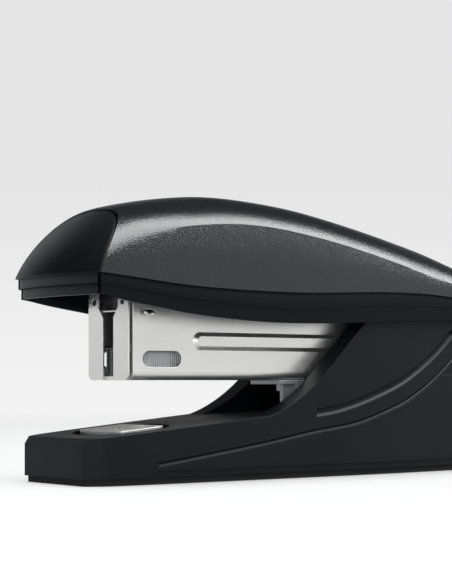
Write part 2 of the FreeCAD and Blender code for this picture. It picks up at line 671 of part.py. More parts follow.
def make_base():
    body = base_plan(0, pad_top, 60).common(base_side(pad_top))
    trough = side_plate([(-40, floor_height(-40)), (44, floor_height(44)), (44, 20.4), (80, 20.4), (80, 60),
                         (-40, 60)], -cheek_inner, cheek_inner)
    body = body.cut(trough).cut(box(42, 68.5, -11.5, 11.5, 20.4, 60))
    hollow = base_plan(2.2, pad_top - 1, 40).common(side_plate(
        [(-80, pad_top - 1), (80, pad_top - 1), (80, cavity_top), (12, cavity_top),
         (tongue_tip, floor_height(tongue_tip) - 2.2)], -30, 30))
    body = body.cut(hollow)
    bosses = []
    for x, y in base_screw_places:
        bosses.append(rod_z(x, y, 3.2, plate_high, min(floor_height(x), 20.0) - 0.6))
    sleeve = rod_z(anvil_x, 0, 5.6, plate_high + 3.0, floor_height(anvil_x) - 1.4)
    body = fuse([body, sleeve] + bosses)
    for x, y in base_screw_places:
        body = body.cut(rod_z(x, y, 1.3, 0, min(floor_height(x), 20.0) - 2.4))
    body = body.cut(box(strap_front - 0.8, guide_back + 1.8, -8.2, 3.4, 5, 22))
    face = floor_height(anvil_x)
    body = body.cut(tilt(rod_z(anvil_x, 0, anvil_round, face - 0.9, face + 6), -close_tilt, anvil_x, face))
    for radius, low, high in ((2.4, -5, 30), (3.3, -5, face - spring_seat), (5.6, -5, 5.45)):
        body = body.cut(tilt(rod_z(anvil_x, 0, radius, low, high), -close_tilt, anvil_x, face))
    for x, y in [(x, 0) for x in lift_rivet_places] + bracket_rivet_places:
        body = body.cut(rod_z(x, y, rivet_radius, 0, 40))
    body = body.cut(rod_y(pivot_x, pivot_z, 3.6, -30, 30))
    trim_edge = [V(x, 0, z + 0.45) for x, z in trim_lead] + arc_line(trim_drop)
    for line, radius, depth in ((arc_line(0), 1.15, 0.6), (trim_edge, 0.45, 0.35)):
        route = [p - V(0, base_half(p.x) + radius - depth, 0) for p in line]
        for side in both_sides(arc_groove(route, radius)):
            body = body.cut(side)
    save("base_shell", body)


def make_heel_skirt():
    """A thin side trim below the swept line, one on each side of the base."""
    low = pad_top + 1.6
    line = [V(x, 0, z) for x, z in trim_lead] + arc_line(trim_drop + 0.45)[:6]
    curve = Part.BSplineCurve()
    curve.interpolate(line)
    points = [line[-1], V(63, 0, line[-1].z), V(63, 0, low), V(trim_lead[0][0] - 1.5, 0, low)]
    edges = [curve.toShape()]
    for a, b in zip(points, points[1:] + [line[0]]):
        edges.append(Part.makeLine(a, b))
    face = Part.Face(Part.Wire(Part.__sortEdges__(edges)))
    region = face.extrude(V(0, 60, 0)).translated(V(0, -30, 0))
    layer = base_plan(-0.5, low, 60).cut(base_plan(0, 0, 70)).common(box(-60, 64, -30, 30, 0, 60))
    save("heel_trim", layer.common(region))


def make_base_plate():
    plate = base_plan(2.3, pad_top, plate_high)
    for x, y in base_screw_places:
        plate = plate.cut(rod_z(x, y, 1.3, 0, 10))
    plate = plate.cut(rod_z(anvil_x, 0, 6.2, 0, 10))
    save("base_plate", plate)
    pad = base_plan(0.8, 0, pad_top)
    for x, y in base_screw_places:
        pad = pad.cut(rod_z(x, y, 2.9, -1, 10))
    pad = pad.cut(rod_z(anvil_x, 0, 7.0, -1, 10))
    save("base_pad", pad)
    screws = [fuse([rod_z(x, y, 1.3, pad_top, min(floor_height(x), 20.0) - 2.6),
                    rod_z(x, y, 2.5, pad_top - 1.1, pad_top)]) for x, y in base_screw_places]
    save("base_screws", Part.makeCompound(screws))


def make_hinge():
    floor = 20.4
    plate = box(43, 66, -11.4, 11.4, floor, floor + sheet)
    ear_points = [(45, floor), (66, floor), (66, pivot_z - 3), (60, pivot_z + 5), (52, pivot_z + 5),
                  (45, floor + 3)]
    ears = both_sides(side_plate(ear_points, 10.3, 11.4))
    bracket = fuse([plate] + ears)
    bracket = bracket.cut(rod_y(pivot_x, pivot_z, pin_radius, -20, 20))
    rivets = []
    for x, y in bracket_rivet_places:
        bracket = bracket.cut(rod_z(x, y, rivet_radius, 0, 40))
        rivets.append(fuse([rod_z(x, y, rivet_radius, cavity_top, floor + sheet),
                            rod_z(x, y, rivet_head, cavity_top - 0.6, cavity_top),
                            rod_z(x, y, rivet_head, floor + sheet, floor + sheet + 0.4)]))
    save("hinge_bracket", bracket)
    save("bracket_rivets", Part.makeCompound(rivets))
    save("hinge_pin", rod_y(pivot_x, pivot_z, pin_radius, -11.8, 11.8))
    save("pin_heads", Part.makeCompound(both_sides(rod_y(pivot_x, pivot_z, 3.2, 11.8, 12.4))))


def make_lift_spring():
    """A leaf riveted to the floor that holds the magazine level."""
    t = 0.4
    low = floor_height(40.0)
    tip_x = 9.0
    tip = magazine_bottom - 0.1
    root = floor_height(29.0)
    under = [(40, low), (29, root), (tip_x, tip - t), (tip_x - 1.5, tip - t - 0.6)]
    over = [(tip_x - 1.7, tip - 0.7), (tip_x, tip), (28.8, root + t), (40, low + t)]
    leaf = side_plate(under + over, -4.0, 4.0)
    rivets = []
    for x in lift_rivet_places:
        leaf = leaf.cut(rod_z(x, 0, rivet_radius, 0, 40))
        head = floor_height(x + rivet_head) + t
        rivets.append(fuse([rod_z(x, 0, rivet_radius, cavity_top, head),
                            rod_z(x, 0, rivet_head, cavity_top - 0.6, cavity_top),
                            rod_z(x, 0, rivet_radius, head, head + 0.5)]))
    save("lift_spring", leaf)
    save("lift_rivets", Part.makeCompound(rivets))


# ---- the anvil ----
def make_anvil():
    face = floor_height(anvil_x)

    def square(shape):
        return tilt(shape, -close_tilt, anvil_x, face)
    top = face + 0.35
    plate = box(anvil_x - 6.5, anvil_x + 6.5, -9.0, 9.0, face - 0.85, top)
    plate = plate.makeFillet(2.0, [e for e in plate.Edges
                                   if abs(e.Vertexes[0].Point.z - e.Vertexes[1].Point.z) > 0.5])
    for x in (-0.7, 0.7, 3.4, 4.8):
        for side in both_sides(box(anvil_x + x - 0.45, anvil_x + x + 0.45, 1.6, 6.9, top - 0.4, top + 1)):
            plate = plate.cut(side)
    plate = plate.cut(rod_z(anvil_x, 0, 2.0, 0, 30))
    save("anvil", square(plate))
    stem = fuse([rod_z(anvil_x, 0, 2.0, 4.5, top - 0.45), rod_z(anvil_x, 0, 5.0, 3.0, 4.5)])
    save("anvil_button", square(stem))
    spring = rod_z(anvil_x, 0, 2.9, 4.55, face - spring_seat - 0.05).cut(rod_z(anvil_x, 0, 2.3, 0, 30))
    save("anvil_spring", square(spring))


make_cap()
make_arm()
make_sleeve()
make_front_plate()
make_core()
make_strip()
make_follower()
make_rod()
make_follower_spring()
make_bridge()
make_strap()
make_bush()
make_base()
make_heel_skirt()
make_base_plate()
make_hinge()
make_lift_spring()
make_anvil()
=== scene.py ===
import json
import math
import bpy
import bmesh
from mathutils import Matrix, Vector


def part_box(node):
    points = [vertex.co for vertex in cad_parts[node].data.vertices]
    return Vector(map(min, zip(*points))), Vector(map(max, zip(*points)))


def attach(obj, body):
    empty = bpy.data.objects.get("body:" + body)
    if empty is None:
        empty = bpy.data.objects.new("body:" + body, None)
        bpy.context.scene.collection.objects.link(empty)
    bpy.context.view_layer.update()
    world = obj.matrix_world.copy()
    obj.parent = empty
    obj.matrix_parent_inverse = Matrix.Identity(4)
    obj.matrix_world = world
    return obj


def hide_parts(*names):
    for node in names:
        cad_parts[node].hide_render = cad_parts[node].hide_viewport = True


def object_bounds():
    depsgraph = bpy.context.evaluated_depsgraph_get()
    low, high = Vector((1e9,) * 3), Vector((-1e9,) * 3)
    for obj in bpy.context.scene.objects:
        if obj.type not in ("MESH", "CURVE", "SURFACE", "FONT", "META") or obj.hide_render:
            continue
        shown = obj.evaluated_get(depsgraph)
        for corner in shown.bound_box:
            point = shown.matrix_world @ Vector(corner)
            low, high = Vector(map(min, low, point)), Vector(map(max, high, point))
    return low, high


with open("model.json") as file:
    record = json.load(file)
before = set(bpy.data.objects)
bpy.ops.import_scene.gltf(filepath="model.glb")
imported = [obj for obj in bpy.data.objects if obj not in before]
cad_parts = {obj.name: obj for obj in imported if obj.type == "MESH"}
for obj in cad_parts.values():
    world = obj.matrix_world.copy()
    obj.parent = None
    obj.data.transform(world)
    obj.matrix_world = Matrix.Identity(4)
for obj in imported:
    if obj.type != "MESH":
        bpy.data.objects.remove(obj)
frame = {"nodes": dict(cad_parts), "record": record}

cad_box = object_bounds()
MM = 0.001

# ---- where things are, in millimetres, in the frame's axes ----
magazine_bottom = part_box("magazine_sleeve")[0].z / MM
plate_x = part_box("front_plate")[0].x / MM
cover_depth = 0.25           # how far the CAD's nose cover lies behind the cap's front edge
nose_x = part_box("nose_cover")[0].x / MM - cover_depth
tail_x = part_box("cap_shell")[1].x / MM


# ---- camera, light and floor ----
def make_camera():
    """A level camera ahead of the nose and to its near side, as high as the magazine's underside."""
    turn = math.radians(38.0)
    distance = 388.0             # from the front plate, along the view
    lateral = -27.3              # the front plate's place across the view, to the left of its middle
    eye_x = plate_x - distance * math.sin(turn) - lateral * math.cos(turn)
    eye_y = -distance * math.cos(turn) + lateral * math.sin(turn)
    data = bpy.data.cameras.new("camera")
    data.sensor_width = 36.0
    data.lens = 103.4
    data.shift_y = 0.151
    data.clip_start = 0.02
    camera = bpy.data.objects.new("camera", data)
    bpy.context.collection.objects.link(camera)
    camera.location = Vector((eye_x, eye_y, magazine_bottom)) * MM
    camera.rotation_euler = (math.radians(90.0), 0.0, -turn)
    bpy.context.scene.camera = camera


def aim(obj, target):
    """Turns a lamp to face a point."""
    way = Vector(target) - obj.location
    obj.rotation_euler = way.to_track_quat("-Z", "Y").to_euler()


def soft_light(name, place, target, size, power, size_y=None):
    """A soft box that lights the stapler without being seen itself."""
    data = bpy.data.lights.new(name, "AREA")
    data.shape = "RECTANGLE"
    data.size = size
    data.size_y = size_y or size
    data.energy = power
    light = bpy.data.objects.new(name, data)
    bpy.context.collection.objects.link(light)
    light.location = place
    light.visible_camera = False
    aim(light, target)
    return light


def eased(nodes, links, source, low, high, at_low, at_high):
    """Turns a value between low and high into one between at_low and at_high, smoothly."""
    share = nodes.new("ShaderNodeMapRange")
    share.interpolation_type = "SMOOTHSTEP"
    share.inputs["From Min"].default_value = low
    share.inputs["From Max"].default_value = high
    share.inputs["To Min"].default_value = at_low
    share.inputs["To Max"].default_value = at_high
    links.new(source, share.inputs["Value"])
    return share.outputs["Result"]


def make_lamps():
    """A long softbox over the shoulder of the cap, which only gloss shows, and four fills."""
    strip = soft_light("shoulder_strip", (0.49, -0.30, 0.62), (0.49, 0.0, 0.05), 1.7, 25.0, 0.50)
    strip.visible_diffuse = False
    soft_light("over", (-0.25, 0.0, 1.1), (0.0, 0.0, 0.0), 0.7, 7.0)
    soft_light("side_fill", (0.80, -0.90, 0.50), (0.0, 0.0, 0.05), 0.7, 0.8)
    soft_light("facet_glow", (0.18, 1.35, 0.60), (-0.07, 0.0, 0.055), 0.5, 0.4)
    soft_light("front_fill", (-0.55, -0.95, 0.25), (-0.03, 0.0, 0.04), 0.5, 2.2)


def make_world():
    """An even room light on matt surfaces, and a pale backdrop for the camera and for gloss."""
    world = bpy.data.worlds.new("world")
    bpy.context.scene.world = world
    world.use_nodes = True
    nodes, links = world.node_tree.nodes, world.node_tree.links
    nodes.clear()
    where = nodes.new("ShaderNodeTexCoord")
    path = nodes.new("ShaderNodeLightPath")
    room = nodes.new("ShaderNodeBackground")
    room.inputs["Color"].default_value = (0.97, 0.99, 1.0, 1)
    room.inputs["Strength"].default_value = 0.30
    direction = nodes.new("ShaderNodeSeparateXYZ")
    links.new(where.outputs["Generated"], direction.inputs[0])
    reflected = eased(nodes, links, direction.outputs["Z"], 0.02, 0.42, 0.80, 0.03)
    looked_at = eased(nodes, links, direction.outputs["Z"], -0.035, 0.138, 0.90, 0.785)
    strength = nodes.new("ShaderNodeMix")
    links.new(path.outputs["Is Camera Ray"], strength.inputs["Factor"])
    links.new(reflected, strength.inputs["A"])
    links.new(looked_at, strength.inputs["B"])
    backdrop = nodes.new("ShaderNodeBackground")
    backdrop.inputs["Color"].default_value = (1.0, 1.0, 1.0, 1)
    links.new(strength.outputs["Result"], backdrop.inputs["Strength"])

    sees = path.outputs["Is Camera Ray"]
    for other in ("Is Glossy Ray", "Is Transmission Ray"):
        either = nodes.new("ShaderNodeMath")
        either.operation = "MAXIMUM"
        links.new(sees, either.inputs[0])
        links.new(path.outputs[other], either.inputs[1])
        sees = either.outputs[0]
    mix = nodes.new("ShaderNodeMixShader")
    out = nodes.new("ShaderNodeOutputWorld")
    links.new(sees, mix.inputs[0])
    links.new(room.outputs[0], mix.inputs[1])
    links.new(backdrop.outputs[0], mix.inputs[2])
    links.new(mix.outputs[0], out.inputs["Surface"])


def make_floor():
    """A pale floor that fades into the backdrop with distance."""
    half = 3.0
    corners = [(-half, -half, 0), (half, -half, 0), (half, half, 0), (-half, half, 0)]
    mesh = bpy.data.meshes.new("floor")
    mesh.from_pydata(corners, [], [(0, 1, 2, 3)])
    floor = bpy.data.objects.new("floor", mesh)
    bpy.context.collection.objects.link(floor)
    floor.location.z = cad_box[0][2] - 0.0001
    material = bpy.data.materials.new("floor")
    material.use_nodes = True
    nodes, links = material.node_tree.nodes, material.node_tree.links
    shader = nodes["Principled BSDF"]
    shader.inputs["Base Color"].default_value = (0.80, 0.80, 0.80, 1)
    shader.inputs["Roughness"].default_value = 0.8
    shader.inputs["Specular IOR Level"].default_value = 0.2
    shader.inputs["Emission Color"].default_value = (1, 1, 1, 1)
    path = nodes.new("ShaderNodeLightPath")
    lift = nodes.new("ShaderNodeMath")
    lift.operation = "MULTIPLY"
    lift.inputs[1].default_value = 0.30
    links.new(path.outputs["Is Camera Ray"], lift.inputs[0])
    links.new(lift.outputs[0], shader.inputs["Emission Strength"])
    where = nodes.new("ShaderNodeTexCoord")
    length = nodes.new("ShaderNodeVectorMath")
    length.operation = "LENGTH"
    links.new(where.outputs["Object"], length.inputs[0])
    fade = eased(nodes, links, length.outputs["Value"], 0.15, 0.9, 0.0, 1.0)
    clear = nodes.new("ShaderNodeBsdfTransparent")
    mix = nodes.new("ShaderNodeMixShader")
    links.new(fade, mix.inputs[0])
    links.new(shader.outputs[0], mix.inputs[1])
    links.new(clear.outputs[0], mix.inputs[2])
    links.new(mix.outputs[0], nodes["Material Output"].inputs["Surface"])
    mesh.materials.append(material)


bpy.context.scene.view_settings.view_transform = "Standard"
make_camera()
make_lamps()
make_world()
make_floor()


# ---- materials ----
def new_material(name, colour, roughness, metallic=0.0, specular=0.5):
    """A plain material, with its node tree and its shader node."""
    material = bpy.data.materials.new(name)
    material.use_nodes = True
    tree = material.node_tree
    shader = tree.nodes["Principled BSDF"]
    shader.inputs["Base Color"].default_value = (*colour, 1)
    shader.inputs["Roughness"].default_value = roughness
    shader.inputs["Metallic"].default_value = metallic
    shader.inputs["Specular IOR Level"].default_value = specular
    return material, tree, shader


def add_node(tree, kind, **values):
    """Adds a node, and sets each value on the input of that name, or else on the node itself."""
    node = tree.nodes.new(kind)
    for key, value in values.items():
        name = key.replace("_", " ")
        if name in node.inputs:
            node.inputs[name].default_value = value
        else:
            setattr(node, key, value)
    return node


def object_noise(tree, scale, detail=3.0, roughness=0.5, stretch=None):
    """Noise in the object's own coordinates, in features per metre."""
    where = add_node(tree, "ShaderNodeTexCoord")
    noise = add_node(tree, "ShaderNodeTexNoise", Scale=scale, Detail=detail, Roughness=roughness)
    if stretch:
        mapping = add_node(tree, "ShaderNodeMapping", Scale=stretch)
        tree.links.new(where.outputs["Object"], mapping.inputs["Vector"])
        tree.links.new(mapping.outputs["Vector"], noise.inputs["Vector"])
    else:
        tree.links.new(where.outputs["Object"], noise.inputs["Vector"])
    return noise


def spread(tree, source, low, high, from_low=0.3, from_high=0.7):
    """Maps a texture's value from one range onto another."""
    node = add_node(tree, "ShaderNodeMapRange", From_Min=from_low, From_Max=from_high,
                    To_Min=low, To_Max=high)
    tree.links.new(source, node.inputs["Value"])
    return node.outputs["Result"]


def tint(tree, shader, source, dark, light):
    """Colours the surface between two shades."""
    mix = add_node(tree, "ShaderNodeMix")
    mix.data_type = "RGBA"
    colour_in = [s for s in mix.inputs if s.type == "RGBA"]
    colour_in[0].default_value = (*dark, 1)
    colour_in[1].default_value = (*light, 1)
    tree.links.new(source, mix.inputs["Factor"])
    colour_out = [s for s in mix.outputs if s.type == "RGBA"]
    tree.links.new(colour_out[0], shader.inputs["Base Color"])


def bump(tree, shader, source, depth, strength=1.0, edge=0.0):
    """Raises the surface by a texture, over softened edges where edge is more than nothing."""
    node = add_node(tree, "ShaderNodeBump", Strength=strength, Distance=depth)
    tree.links.new(source, node.inputs["Height"])
    if edge:
        soft = add_node(tree, "ShaderNodeBevel", samples=6)
        soft.inputs["Radius"].default_value = edge
        tree.links.new(soft.outputs["Normal"], node.inputs["Normal"])
    tree.links.new(node.outputs["Normal"], shader.inputs["Normal"])


def grained_plastic(name, colour, roughness, cell, depth, specular=0.5):
    """Moulded leather grain: small pebbles with creases between them, with painted shade in the creases and
    painted light on the pebble tops.
    """
    material, tree, shader = new_material(name, colour, roughness, 0.0, specular)
    where = add_node(tree, "ShaderNodeTexCoord")
    warp = object_noise(tree, cell * 0.8, 2.0)
    shift = add_node(tree, "ShaderNodeVectorMath", operation="SCALE")
    shift.inputs["Scale"].default_value = 0.6 / cell
    tree.links.new(warp.outputs["Color"], shift.inputs[0])
    place = add_node(tree, "ShaderNodeVectorMath", operation="ADD")
    tree.links.new(where.outputs["Object"], place.inputs[0])
    tree.links.new(shift.outputs["Vector"], place.inputs[1])
    pebbles = add_node(tree, "ShaderNodeTexVoronoi", feature="DISTANCE_TO_EDGE", Scale=cell)
    tree.links.new(place.outputs["Vector"], pebbles.inputs["Vector"])
    height = spread(tree, pebbles.outputs["Distance"], 0.0, 1.0, 0.0, 0.28)
    fine = object_noise(tree, cell * 3.0, 3.0)
    total = add_node(tree, "ShaderNodeMath", operation="MULTIPLY_ADD")
    total.inputs[1].default_value = 0.5
    tree.links.new(fine.outputs["Fac"], total.inputs[0])
    tree.links.new(height, total.inputs[2])
    bump(tree, shader, total.outputs[0], depth)
    # painted shade and light: the colour is darker down in the grain's creases and lighter on the pebble
    # tops, following the bump's height; the fine noise adds tone that differs at random
    light = tuple(c * 1.18 for c in colour)
    dark = tuple(c * 0.80 for c in colour)
    tint(tree, shader, spread(tree, total.outputs[0], 0.0, 1.0, 0.1, 1.3), dark, light)
    return material


def smooth_plastic(name, colour, roughness, depth=0.00001, scale=2500.0, specular=0.3):
    """Satin moulded plastic: a fine spark grain and faint patches of shine."""
    material, tree, shader = new_material(name, colour, roughness, 0.0, specular)
    grain = object_noise(tree, scale, 4.0, 0.6)
    bump(tree, shader, grain.outputs["Fac"], depth, 0.5, 0.0002)
    patches = object_noise(tree, 60.0, 3.0)
    tree.links.new(spread(tree, patches.outputs["Fac"], roughness - 0.04, roughness + 0.05),
                   shader.inputs["Roughness"])
    tint(tree, shader, patches.outputs["Fac"], tuple(c * 0.9 for c in colour), tuple(c * 1.1 for c in colour))
    return material


def plated_steel(name, colour, roughness, stretch=(1.0, 1.0, 1.0), edge=0.00018, metallic=1.0):
    """Plated sheet: rolling marks along one direction and a faintly uneven shine."""
    material, tree, shader = new_material(name, colour, roughness, metallic)
    marks = object_noise(tree, 900.0, 4.0, 0.6, stretch)
    bump(tree, shader, marks.outputs["Fac"], 0.000004, 0.6, edge)
    clouds = object_noise(tree, 45.0, 4.0)
    tree.links.new(spread(tree, clouds.outputs["Fac"], roughness - 0.05, roughness + 0.07),
                   shader.inputs["Roughness"])
    dark = tuple(c * 0.93 for c in colour)
    light = tuple(min(1.0, c * 1.05) for c in colour)
    tint(tree, shader, marks.outputs["Fac"], dark, light)
    return material


finishes = {
    "cap_plastic": grained_plastic("cap_plastic", (0.016, 0.020, 0.023), 0.21, 1500.0, 0.000020),
    "smooth_plastic": smooth_plastic("smooth_plastic", (0.003, 0.005, 0.007), 0.38, specular=0.12),
    "nose_plastic": smooth_plastic("nose_plastic", (0.003, 0.005, 0.007), 0.34, specular=0.22),
    "base_plastic": smooth_plastic("base_plastic", (0.005, 0.007, 0.009), 0.42, 0.00002, specular=0.14),
    "inner_plastic": smooth_plastic("inner_plastic", (0.030, 0.030, 0.031), 0.45),
    "rubber": smooth_plastic("rubber", (0.015, 0.015, 0.015), 0.80, 0.00006, 1500.0),
    "nickel_steel": plated_steel("nickel_steel", (0.84, 0.84, 0.83), 0.30, (0.08, 1.0, 1.0), metallic=0.93),
    "grey_steel": plated_steel("grey_steel", (0.40, 0.41, 0.42), 0.45, metallic=0.7),
    "dark_steel": plated_steel("dark_steel", (0.10, 0.10, 0.11), 0.40),
    "staple_wire": plated_steel("staple_wire", (0.48, 0.49, 0.50), 0.34, edge=0.0),
    "spring_steel": plated_steel("spring_steel", (0.42, 0.42, 0.44), 0.34, edge=0.0),
}


# ---- the cap's driving sizes in millimetres: lines as (x, z) or (x, half-width), then single values ----
top_line = [(-80, 54.6), (-69, 60.3), (-59, 63.9), (-39, 67.1), (-24, 67.3), (-4, 65.4),
            (31, 58.6), (47, 54.0), (61, 49.6), (77, 43.5)]
crease_line = [(-80, 48.5), (-73, 49.5), (-67, 52.4), (-59, 55.7), (-48, 58.6), (-29, 59.9),
               (-9, 57.9), (13, 53.7), (33, 49.1), (56, 45.4), (77, 41.2)]
lip_line = [(-80, 47.2), (-73, 47.1), (-46, 44.9), (-16, 44.4), (13, 45.4), (31, 45.2), (56, 43.0),
            (77, 40.0)]
step_line = [(-80, 44.8), (-73, 44.7), (-46, 41.8), (-16, 40.5), (13, 41.9), (31, 42.3), (56, 40.8),
             (77, 38.7)]
rim_line = [(-80, 42.4), (-72, 42.3), (-65, 41.1), (-56, 39.8), (-46, 38.5), (-25, 37.2), (-3, 37.4),
            (31, 38.8), (56, 38.4), (77, 37.4)]
half_line = [(-80, 17.6), (-73, 18.1), (-39, 18.4), (1, 18.8), (37, 17.4), (56, 16.2), (77, 14.2)]
side_lean = 0.14             # the side leans in by this much per millimetre up to the crease
side_bulge = 0.02            # and bows out by this part of its height
crown_share = 0.62           # part of the half section that lies above the crease
nose_radius = 67.0           # in plan
facet_foot = 47.2            # height where the nose starts to lean back
facet_slope = 0.45           # it leans back by this much per millimetre of height
facet_curve = 0.025          # and by more towards its top
nose_probe = -73.0           # a place just behind the nose, where its width is read
nose_guess = -65.0           # where the search for the nose surface starts
tail_guess = 72.0            # and the search for the tail surface
square_from = -40.0          # ahead of here the cap's shoulder grows squarer
square_over = 27.0           # over this length
tail_start = 45.0            # from here back the plan rounds off
tail_half = 17.2             # half the width that the tail rounds off from
tail_power = 4.0             # the higher, the squarer the tail
wall = 2.1                   # thickness of the cap
edge_skin = 0.32             # thickness of the cap's side where it wraps the nose cover
corner_gap = 0.95            # upright gap between the nose's rim bands and the side's
rim_step = 0.6               # each rim band steps in by this much
nose_recess = 0.08           # how far the nose cover lies behind the cap's front edge
nose_layer = 2.2             # thickness of the nose cover's bands
facet_wall = 0.8 * nose_layer
facet_gap = 0.06             # gap between the nose cover and the cap's side
clear_inset = 2.3            # inside of the rim, measured in from the lip
search_steps = 40            # enough halvings to place an edge exactly


def along(line, x):
    """Height or half-width at x, on a smooth curve through the points of a line."""
    if x <= line[0][0]:
        return line[0][1]
    if x >= line[-1][0]:
        return line[-1][1]
    i = 0
    while x > line[i + 1][0]:
        i += 1
    (x0, z0), (x1, z1) = line[i], line[i + 1]

    def slope(k):
        a, b = max(k - 1, 0), min(k + 1, len(line) - 1)
        return (line[b][1] - line[a][1]) / (line[b][0] - line[a][0])
    run = x1 - x0
    t = (x - x0) / run
    return ((2 * t ** 3 - 3 * t ** 2 + 1) * z0 + (t ** 3 - 2 * t ** 2 + t) * run * slope(i)
            + (3 * t ** 2 - 2 * t ** 3) * z1 + (t ** 3 - t ** 2) * run * slope(i + 1))


def nose_face(y, z, inset=0.0):
    """The bowed nose surface: upright below the facet's foot, leaning back above it."""
    bow = nose_radius - math.sqrt(nose_radius ** 2 - y ** 2)
    height = max(0.0, z - facet_foot)
    return nose_x + inset + bow + height * (facet_slope + height * facet_curve)


def tail_face(y, inset=0.0):
    """The rounded tail surface."""
    share = min(1.0, abs(y) / (tail_half - inset))
    return tail_start + (tail_x - tail_start - inset) * (1 - share ** tail_power) ** (1 / tail_power)


def smooth_step(t):
    t = min(1.0, max(0.0, t))
    return t * t * (3 - 2 * t)


def squareness(x):
    """How square the cap's shoulder is: 1 at the nose, 0 from the middle back."""
    return smooth_step((square_from - x) / square_over)


def cap_point(x, t, inset=0.0):
    """Point of the cap's cross-section: t runs from -1, the near lip, over the top to 1, the far lip."""
    side = -1.0 if t < 0 else 1.0
    half = along(half_line, x) - inset
    square = squareness(x)
    lip, crease = along(lip_line, x), along(crease_line, x) - 0.6 * inset
    crease_half = half - side_lean * (crease - lip)
    top = along(top_line, x) - inset
    rise = top - crease
    if abs(t) >= crown_share:
        s = (1 - abs(t)) / (1 - crown_share)
        bulge = side_bulge * (crease - lip) * math.sin(math.pi * s)
        return side * (half + (crease_half - half) * s + bulge), lip + (crease - lip) * s
    s = 1 - abs(t) / crown_share
    shoulder = (crease_half * (0.88 + 0.04 * square), crease + (0.52 + 0.06 * square) * rise)
    crown = (crease_half * (0.52 + 0.20 * square), top)
    poles = [(crease_half, crease), shoulder, crown, (0.0, top)]
    weights = [(1 - s) ** 3, 3 * s * (1 - s) ** 2, 3 * s * s * (1 - s), s ** 3]
    return side * sum(w * p[0] for w, p in zip(weights, poles)), sum(w * p[1] for w, p in zip(weights, poles))


def reach(t, face, start, inset=0.0):
    """The x at which the line of constant t meets an end surface."""
    x = start
    for _ in range(search_steps):
        y, z = cap_point(x, t, inset)
        x = 0.5 * x + 0.5 * face(y, z)
    return x


def placed(name, mesh, material, body, replaced, sharp):
    """Makes a piece from a mesh: smooth but for its sharp edges, with its material, on its body."""
    mesh.polygons.foreach_set("use_smooth", [True] * len(mesh.polygons))
    mesh.set_sharp_from_angle(angle=math.radians(sharp))
    mesh.materials.clear()
    mesh.materials.append(material)
    obj = bpy.data.objects.new(name, mesh)
    bpy.context.collection.objects.link(obj)
    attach(obj, body)
    if replaced:
        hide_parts(*replaced)
    return obj


def build(name, points, faces, material, body, replaced=(), sharp=30.0):
    """Makes a mesh piece from points in millimetres, and puts it on its body."""
    mesh = bpy.data.meshes.new(name)
    mesh.from_pydata([Vector(p) * MM for p in points], [], faces)
    work = bmesh.new()
    work.from_mesh(mesh)
    bmesh.ops.remove_doubles(work, verts=work.verts, dist=0.00001)
    bmesh.ops.dissolve_degenerate(work, edges=work.edges, dist=0.000005)
    bmesh.ops.recalc_face_normals(work, faces=work.faces)
    work.to_mesh(mesh)
    work.free()
    return placed(name, mesh, material, body, replaced, sharp)


def grid_faces(rows, columns, first=0, closed=False):
    """Quads between rows of points; closed joins the last column to the first."""
    faces = []
    spans = columns if closed else columns - 1
    for i in range(rows - 1):
        for j in range(spans):
            k = (j + 1) % columns
            a, b = first + i * columns, first + (i + 1) * columns
            faces.append((a + j, a + k, b + k, b + j))
    return faces


def apply_modifiers(obj):
    """Makes the piece's modified shape its mesh."""
    bpy.context.view_layer.update()
    depsgraph = bpy.context.evaluated_depsgraph_get()
    obj.data = bpy.data.meshes.new_from_object(obj.evaluated_get(depsgraph))
    obj.modifiers.clear()


def round_edges(obj, width, sharp=40.0):
    """Bevels the piece's corners, and shades as sharp only what still turns by more than sharp."""
    bevel = obj.modifiers.new("bevel", "BEVEL")
    bevel.width = width * MM
    bevel.segments = 2
    bevel.limit_method = "ANGLE"
    bevel.angle_limit = math.radians(50.0)
    apply_modifiers(obj)
    obj.data.set_sharp_from_angle(angle=math.radians(sharp))


side_columns = 9             # steps across the cap's side
crown_columns = 26           # steps from its crease to its top
skin_rows = 96               # steps from the nose to the tail
tail_rows = 10               # steps from the tail's edge to its middle


def section_steps():
    """Values of t across the cap, closer together over the crown and one on each crease."""
    near = [-1 + (1 - crown_share) * i / side_columns for i in range(side_columns)]
    crown = [-crown_share + 2 * crown_share * i / (2 * crown_columns) for i in range(2 * crown_columns)]
    far = [crown_share + (1 - crown_share) * i / side_columns for i in range(side_columns + 1)]
    return near + crown + far


def skin():
    """The cap's outer skin, from the nose surface to the closed tail: its points, rows and columns."""
    steps = section_steps()
    fronts = [reach(t, nose_face, nose_guess) for t in steps]
    ends = [reach(t, lambda y, z: tail_face(y), tail_guess) for t in steps]
    rim_depth = nose_recess + nose_layer
    shares = [0.0, 0.5, 0.98] + [1.0 + i for i in range(skin_rows)]
    points = []
    for share in shares:
        for t, front, end in zip(steps, fronts, ends):
            if share <= 1.0:
                x = front + rim_depth * share
            else:
                x = front + rim_depth + (end - front - rim_depth) * (share - 1.0) / (skin_rows - 1)
            points.append((x, *cap_point(x, t)))
    edge = points[-len(steps):]
    middle = (tail_x, 0.0, along(lip_line, tail_x))
    for i in range(1, tail_rows):
        k = i / tail_rows
        for _, y, z in edge:
            new_y = y * (1 - k)
            points.append((tail_face(new_y), new_y, z + (middle[2] - z) * k))
    points += [middle] * len(steps)
    return points, len(shares) + tail_rows, len(steps)


